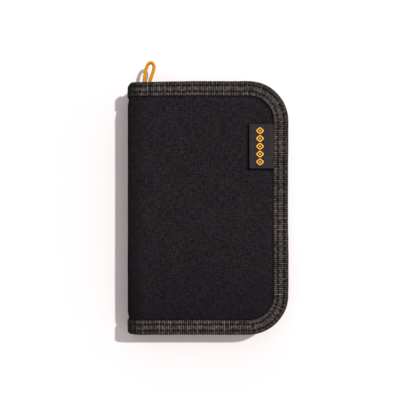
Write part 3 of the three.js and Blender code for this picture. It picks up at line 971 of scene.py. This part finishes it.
def zip_tape(cover):
    """Cloth sewn flat under the lining's edge, then turned up into a wall beside the coil."""
    low, high = box_mm("back_zip_tape")
    foot, flange_top, wall_top = low[2], low[2] + TAPE_T, high[2]
    edge = RIGHT - high[0]
    flange_w, bend_r = 6.5, 0.8
    wall = edge + flange_w
    wide_r = bend_r + TAPE_T
    bend_at, bend_z = wall - bend_r, flange_top + bend_r
    turn = np.linspace(0, math.pi / 2, 6)
    up_wall = np.linspace(bend_z + 1, wall_top, 4)
    section = [(edge, foot), (edge, flange_top), (edge + 2, flange_top), (edge + 4, flange_top)]
    section += [(bend_at + bend_r * math.sin(a), bend_z - bend_r * math.cos(a)) for a in turn]
    section += [(wall, z) for z in up_wall]
    section += [(wall + TAPE_T, z) for z in up_wall[::-1]]
    section += [(bend_at + wide_r * math.sin(a), bend_z - wide_r * math.cos(a)) for a in turn[::-1]]
    section += [(edge + 4, foot), (edge + 2, foot)]
    section = np.array(section)
    around = lengths(section)
    length = edge_length(0, low[0])
    s = np.linspace(0, length, round(length / 1.2) + 1)[:, None]
    x, y, nx, ny = edge_at(s, 0, low[0])
    points = together(x + nx * section[:, 0], y + ny * section[:, 0], section[:, 1])
    faces = flipped(sweep_faces(len(s), len(section)))
    uv = together(s, around)
    piece = make(cover + "_zip_cloth", points, faces, ZIP_TAPE, uv=uv, cover=cover)
    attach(piece, cover)
    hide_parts(cover + "_zip_tape")


def zip_coil(cover):
    """A spiral of nylon along the zip's wall. The front one is half a turn on, so that the turns mesh, and
    starts behind the resting slider."""
    front = cover == "front"
    low, high = box_mm("back_zip_coil")
    half_w = 0.65
    inset = RIGHT - high[0] + half_w
    wire_r, pitch, steps, sides = 0.24, 1.2, 14, 6
    turns = int(edge_length(inset, low[0]) / pitch)
    t = np.arange(turns * steps + 1) / steps
    x, y, nx, ny = edge_at(t * pitch, inset, low[0])
    clearance = 0.5
    past_slider = x - SLIDER_END - SLIDER_TRAVEL - clearance
    meshed = 0.3 + 0.5 * smooth(np.maximum(past_slider / 2.5, y < 0))  # less deep where the slider runs
    deep = high[2] + meshed - low[2]
    swing = 2 * math.pi * (t + (0.5 if front else 0))
    across = (half_w - wire_r) * np.sin(swing)
    up = low[2] + deep / 2 + (deep / 2 - wire_r) * np.cos(swing)
    centre = together(x + nx * across, y + ny * across, up)
    if front:
        slider_gap = 0.8
        centre = centre[int(np.argmax(centre[:, 0] > SLIDER_END + slider_gap)):]
    ahead = unit(np.gradient(centre, axis=0))
    path = together(-ny, nx, 0)[-len(centre):]
    first = unit(path - ahead * (path * ahead).sum(1)[:, None])
    second = np.cross(ahead, first)
    turn = round_circle(sides)[:, None]
    points = centre[:, None] + wire_r * (first[:, None] * np.cos(turn) + second[:, None] * np.sin(turn))
    faces = sweep_faces(len(centre), sides)
    piece = make(cover + "_zip_spiral", points, faces, COIL, cover=cover)
    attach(piece, cover)
    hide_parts(cover + "_zip_coil")


def ribbed_tape(name, node, body, axis, pitch):
    """A narrow folded tape in place of a node, with ribs across its length along axis."""
    low, high = box_mm(node)
    others = [k for k in range(3) if k != axis]
    length = high[axis] - low[axis]
    ribs = round(length / pitch)
    t = np.linspace(0, 1, ribs * POINTS_PER_RIB + 1)
    ridge = np.abs(np.sin(math.pi * ribs * t)) ** 0.7
    end = np.sqrt(np.clip(np.minimum(t, 1 - t) * length / 0.5, 0.1, 1))
    turn = round_circle(24)
    box = [np.sign(f(turn)) * np.abs(f(turn)) ** 0.4 for f in (np.cos, np.sin)]
    middle = (low + high) / 2
    half = (high - low) / 2
    size = (0.93 + 0.07 * ridge)[:, None] * end[:, None]
    points = np.zeros((len(t), len(turn), 3))
    points[..., axis] = (low[axis] + t * length)[:, None]
    for k, shape in zip(others, box):
        points[..., k] = middle[k] + half[k] * size * shape
    around = turn * half[others].sum() * 2 / math.pi
    uv = together(points[..., axis], around)
    faces = sweep_faces(len(t), len(turn))
    if axis == 1:
        faces = flipped(faces)
    # painted highlight on each rib's crest and painted shade between the ribs
    piece = make(name, points, faces, GROSGRAIN, uv=uv, tone=ridge[:, None] + 0 * around)
    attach(piece, body)
    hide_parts(node)


for add_half in (zip_tape, zip_coil):
    for cover in COVERS:
        add_half(cover)
for end in ("top", "bottom"):
    ribbed_tape(f"zip_end_{end}", f"zip_end_tab_{end}", "spine", 2, 0.7)


# ---- Passport sleeve inside the back cover ----
def panel_sheet(name, x, y, face_z, thick, up=1):
    """A closed cloth sheet whose seen side is at face_z. up is 1 where that side faces up."""
    points = [together(x, y, face_z), together(x, y, face_z - up * thick)]
    uv = together(x, y)
    faces = sheet_faces(*x.shape)
    if up > 0:
        faces = flipped(faces)
    return make(name, points, faces, POCKET_CLOTH, uv=[uv, uv])


(SLEEVE_LEFT, SLEEVE_FOOT, _), (SLEEVE_RIGHT, SLEEVE_TOP, SLEEVE_FACE) = box_mm("passport_sleeve_panel")
SLEEVE_X = (SLEEVE_LEFT + SLEEVE_RIGHT) / 2
NOTCH_DEPTH = 11.0
NOTCH_HALF = 17.0
GUSSET_R = 1.8


def sleeve_top(x):
    """The sleeve's open edge, with a thumb notch in its middle."""
    from_middle = np.abs(x - SLEEVE_X) / NOTCH_HALF
    return SLEEVE_TOP - NOTCH_DEPTH * (0.5 + 0.5 * np.cos(math.pi * np.clip(from_middle, 0, 1)))


def sleeve_height(x, y):
    """Height of the sleeve's face: down to the lining at its sides and foot, slack in the middle."""
    corner = 6.0
    across = np.abs(x - SLEEVE_X) - (SLEEVE_RIGHT - SLEEVE_LEFT) / 2 + corner
    along = SLEEVE_FOOT + corner - y
    outside = np.hypot(np.maximum(across, 0), np.maximum(along, 0))
    inset = corner - outside - np.minimum(np.maximum(across, along), 0)
    foot = box_mm("passport_sleeve_foot")[0][2] + 0.3
    slack = 0.5 * smooth(inset / 30) + 0.12 * ripple(x, y, 30, 41) * smooth(inset / 10)
    return foot + (SLEEVE_FACE - foot - slack) * rounded(inset / GUSSET_R)


def sleeve():
    left = SLEEVE_LEFT + eased(GUSSET_R, 9)
    middle = np.linspace(SLEEVE_LEFT + GUSSET_R, SLEEVE_RIGHT - GUSSET_R, 80)
    xs = np.concatenate([left, middle, (2 * SLEEVE_X - left)[::-1]])
    foot_share = 0.012  # of its height, for the rounded foot
    share = np.concatenate([eased(foot_share, 8), np.linspace(foot_share, 1, 90)])
    x = np.broadcast_to(xs[None, :], (len(share), len(xs)))
    y = SLEEVE_FOOT + (sleeve_top(x) - SLEEVE_FOOT) * share[:, None]
    piece = panel_sheet("passport_sleeve", x, y, sleeve_height(x, y), 0.4)
    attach(piece, "back")
    parts = ["panel", "spine_side", "edge_side", "foot"]
    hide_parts(*("passport_sleeve_" + part for part in parts))


def hem(name, xs, top, height, width, body, up=1):
    """A folded tape over the free edge y = top(x) of a sheet whose face is at height(x, y)."""
    y = top(xs)
    slope = np.gradient(y, xs)
    nx = slope / np.hypot(1, slope)
    ny = -1 / np.hypot(1, slope)
    section = np.array([
        (-0.35, 0.0), (-0.2, 0.35), (0.3, 0.5), (0.5 * width, 0.46), (width - 0.2, 0.42), (width, 0.3),
        (width, -0.5), (0.5 * width, -0.55), (0.3, -0.6), (-0.2, -0.45),
    ])
    px = xs[:, None] + nx[:, None] * section[:, 0]
    py = y[:, None] + ny[:, None] * section[:, 0]
    ridge = np.abs(np.sin(math.pi * np.arange(len(xs)) / 4)) ** 0.7  # a rib on every four points
    face = height(px, np.minimum(py, top(px)))
    pz = face + up * (section[:, 1] + 0.05 * ridge[:, None] * np.sign(section[:, 1]))
    around = lengths(section)
    uv = together(lengths(together(xs, y))[:, None], around)
    faces = sweep_faces(len(xs), len(section))
    if up > 0:
        faces = flipped(faces)
    # painted highlight on each rib's crest and painted shade between the ribs
    tone = (0.25 + 0.45 * ridge)[:, None] + 0 * around
    piece = make(name, together(px, py, pz), faces, GROSGRAIN, uv=uv, tone=tone)
    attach(piece, body)


sleeve()
sleeve_hem_x = np.linspace(SLEEVE_LEFT + 1.3, SLEEVE_RIGHT - 1.3, 360)
hem("passport_sleeve_hem", sleeve_hem_x, sleeve_top, sleeve_height, 3.2, "back")


# ---- Pockets inside the front cover, facing down while it is closed ----
def pocket(node, piece_name, free, seed):
    """free is how far its face stands off what is behind it, and turns in again at its foot."""
    low, high = box_mm(node)
    foot_r = 1.1
    xs = np.linspace(low[0], high[0], 90)
    ys = np.concatenate([low[1] + eased(foot_r, 7), np.linspace(low[1] + foot_r, high[1], 60)])
    x, y = np.meshgrid(xs, ys)

    def height(px, py):
        side = np.minimum(px - low[0], high[0] - px)
        foot = rounded((py - low[1]) / foot_r)
        wave = 0.1 * ripple(px, py, 24, seed) * smooth(side / 8) * smooth((py - low[1]) / 10)
        mouth = 0.25 * smooth((py - high[1] + 8) / 8) * smooth(side / 20)
        return low[2] + free * (1 - foot) + wave + mouth

    piece = panel_sheet(piece_name, x, y, height(x, y), 0.35, up=-1)
    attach(piece, "front")
    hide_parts(node)
    hem_x = np.linspace(low[0] + 0.2, high[0] - 0.2, 300)
    hem(piece_name + "_hem", hem_x, lambda px: high[1] + 0 * px, height, 2.4, "front", up=-1)


pocket("document_pocket", "document_pocket_cloth", 0.6, 51)
for number in (1, 2, 3):
    pocket(f"card_pocket_{number}", f"card_pocket_cloth_{number}", 0.8, 51 + number)
for side in ("spine", "edge"):
    ribbed_tape(f"pocket_seam_tape_{side}", f"pocket_seam_{side}_side", "front", 1, RIB_PITCH)


# ---- Slider, puller and stops: the CAD shapes with soft edges ----
def finish_cad(node, bevel):
    part = frame["nodes"][node]
    for slot in part.material_slots:
        slot.material = METAL
    weld = part.modifiers.new("weld", "WELD")
    weld.merge_threshold = 0.005 * MM
    soft = part.modifiers.new("soft edges", "BEVEL")
    soft.width = bevel * MM
    soft.segments = 3
    soft.limit_method = "ANGLE"
    soft.angle_limit = math.radians(28)


finish_cad("slider_body", 0.14)
finish_cad("puller", 0.12)
for cover in COVERS:
    for end in ("top", "bottom"):
        finish_cad(f"{cover}_zip_stop_{end}", 0.15)


# ---- Floor and light ----
def make_floor():
    half = 6  # metres
    corners = [(-half, -half, 0), (half, -half, 0), (half, half, 0), (-half, half, 0)]
    mesh = bpy.data.meshes.new("floor")
    mesh.from_pydata(corners, [], [(0, 1, 2, 3)])
    mesh.materials.append(floor_finish())
    floor = bpy.data.objects.new("floor", mesh)
    floor.location.z = -0.05 * MM
    bpy.context.scene.collection.objects.link(floor)


def make_lights():
    """A key light at the upper right, and an even pale sky that fills the shadow."""
    key_data = bpy.data.lights.new("key", "SUN")
    key_data.energy = 2.9
    key_data.angle = math.radians(2)
    key_data.color = 1.0, 0.99, 0.98
    key = bpy.data.objects.new("key", key_data)
    key.rotation_euler = Vector((0.55, 0.4, 1)).to_track_quat("Z", "Y").to_euler()
    bpy.context.scene.collection.objects.link(key)
    world = bpy.data.worlds.new("studio")
    world.use_nodes = True
    nodes, links = world.node_tree.nodes, world.node_tree.links
    sky = nodes["Background"]
    sky.inputs["Color"].default_value = 1.0, 0.88, 0.9, 1
    sky.inputs["Strength"].default_value = 0.7
    backdrop = nodes.new("ShaderNodeBackground")
    backdrop.inputs["Color"].default_value = 1, 1, 1, 1
    seen = nodes.new("ShaderNodeLightPath")
    choose = nodes.new("ShaderNodeMixShader")
    links.new(seen.outputs["Is Camera Ray"], choose.inputs[0])
    links.new(sky.outputs[0], choose.inputs[1])
    links.new(backdrop.outputs[0], choose.inputs[2])
    links.new(choose.outputs[0], nodes["World Output"].inputs["Surface"])
    bpy.context.scene.world = world
    bpy.context.scene.view_settings.view_transform = "Standard"


make_floor()
make_lights()
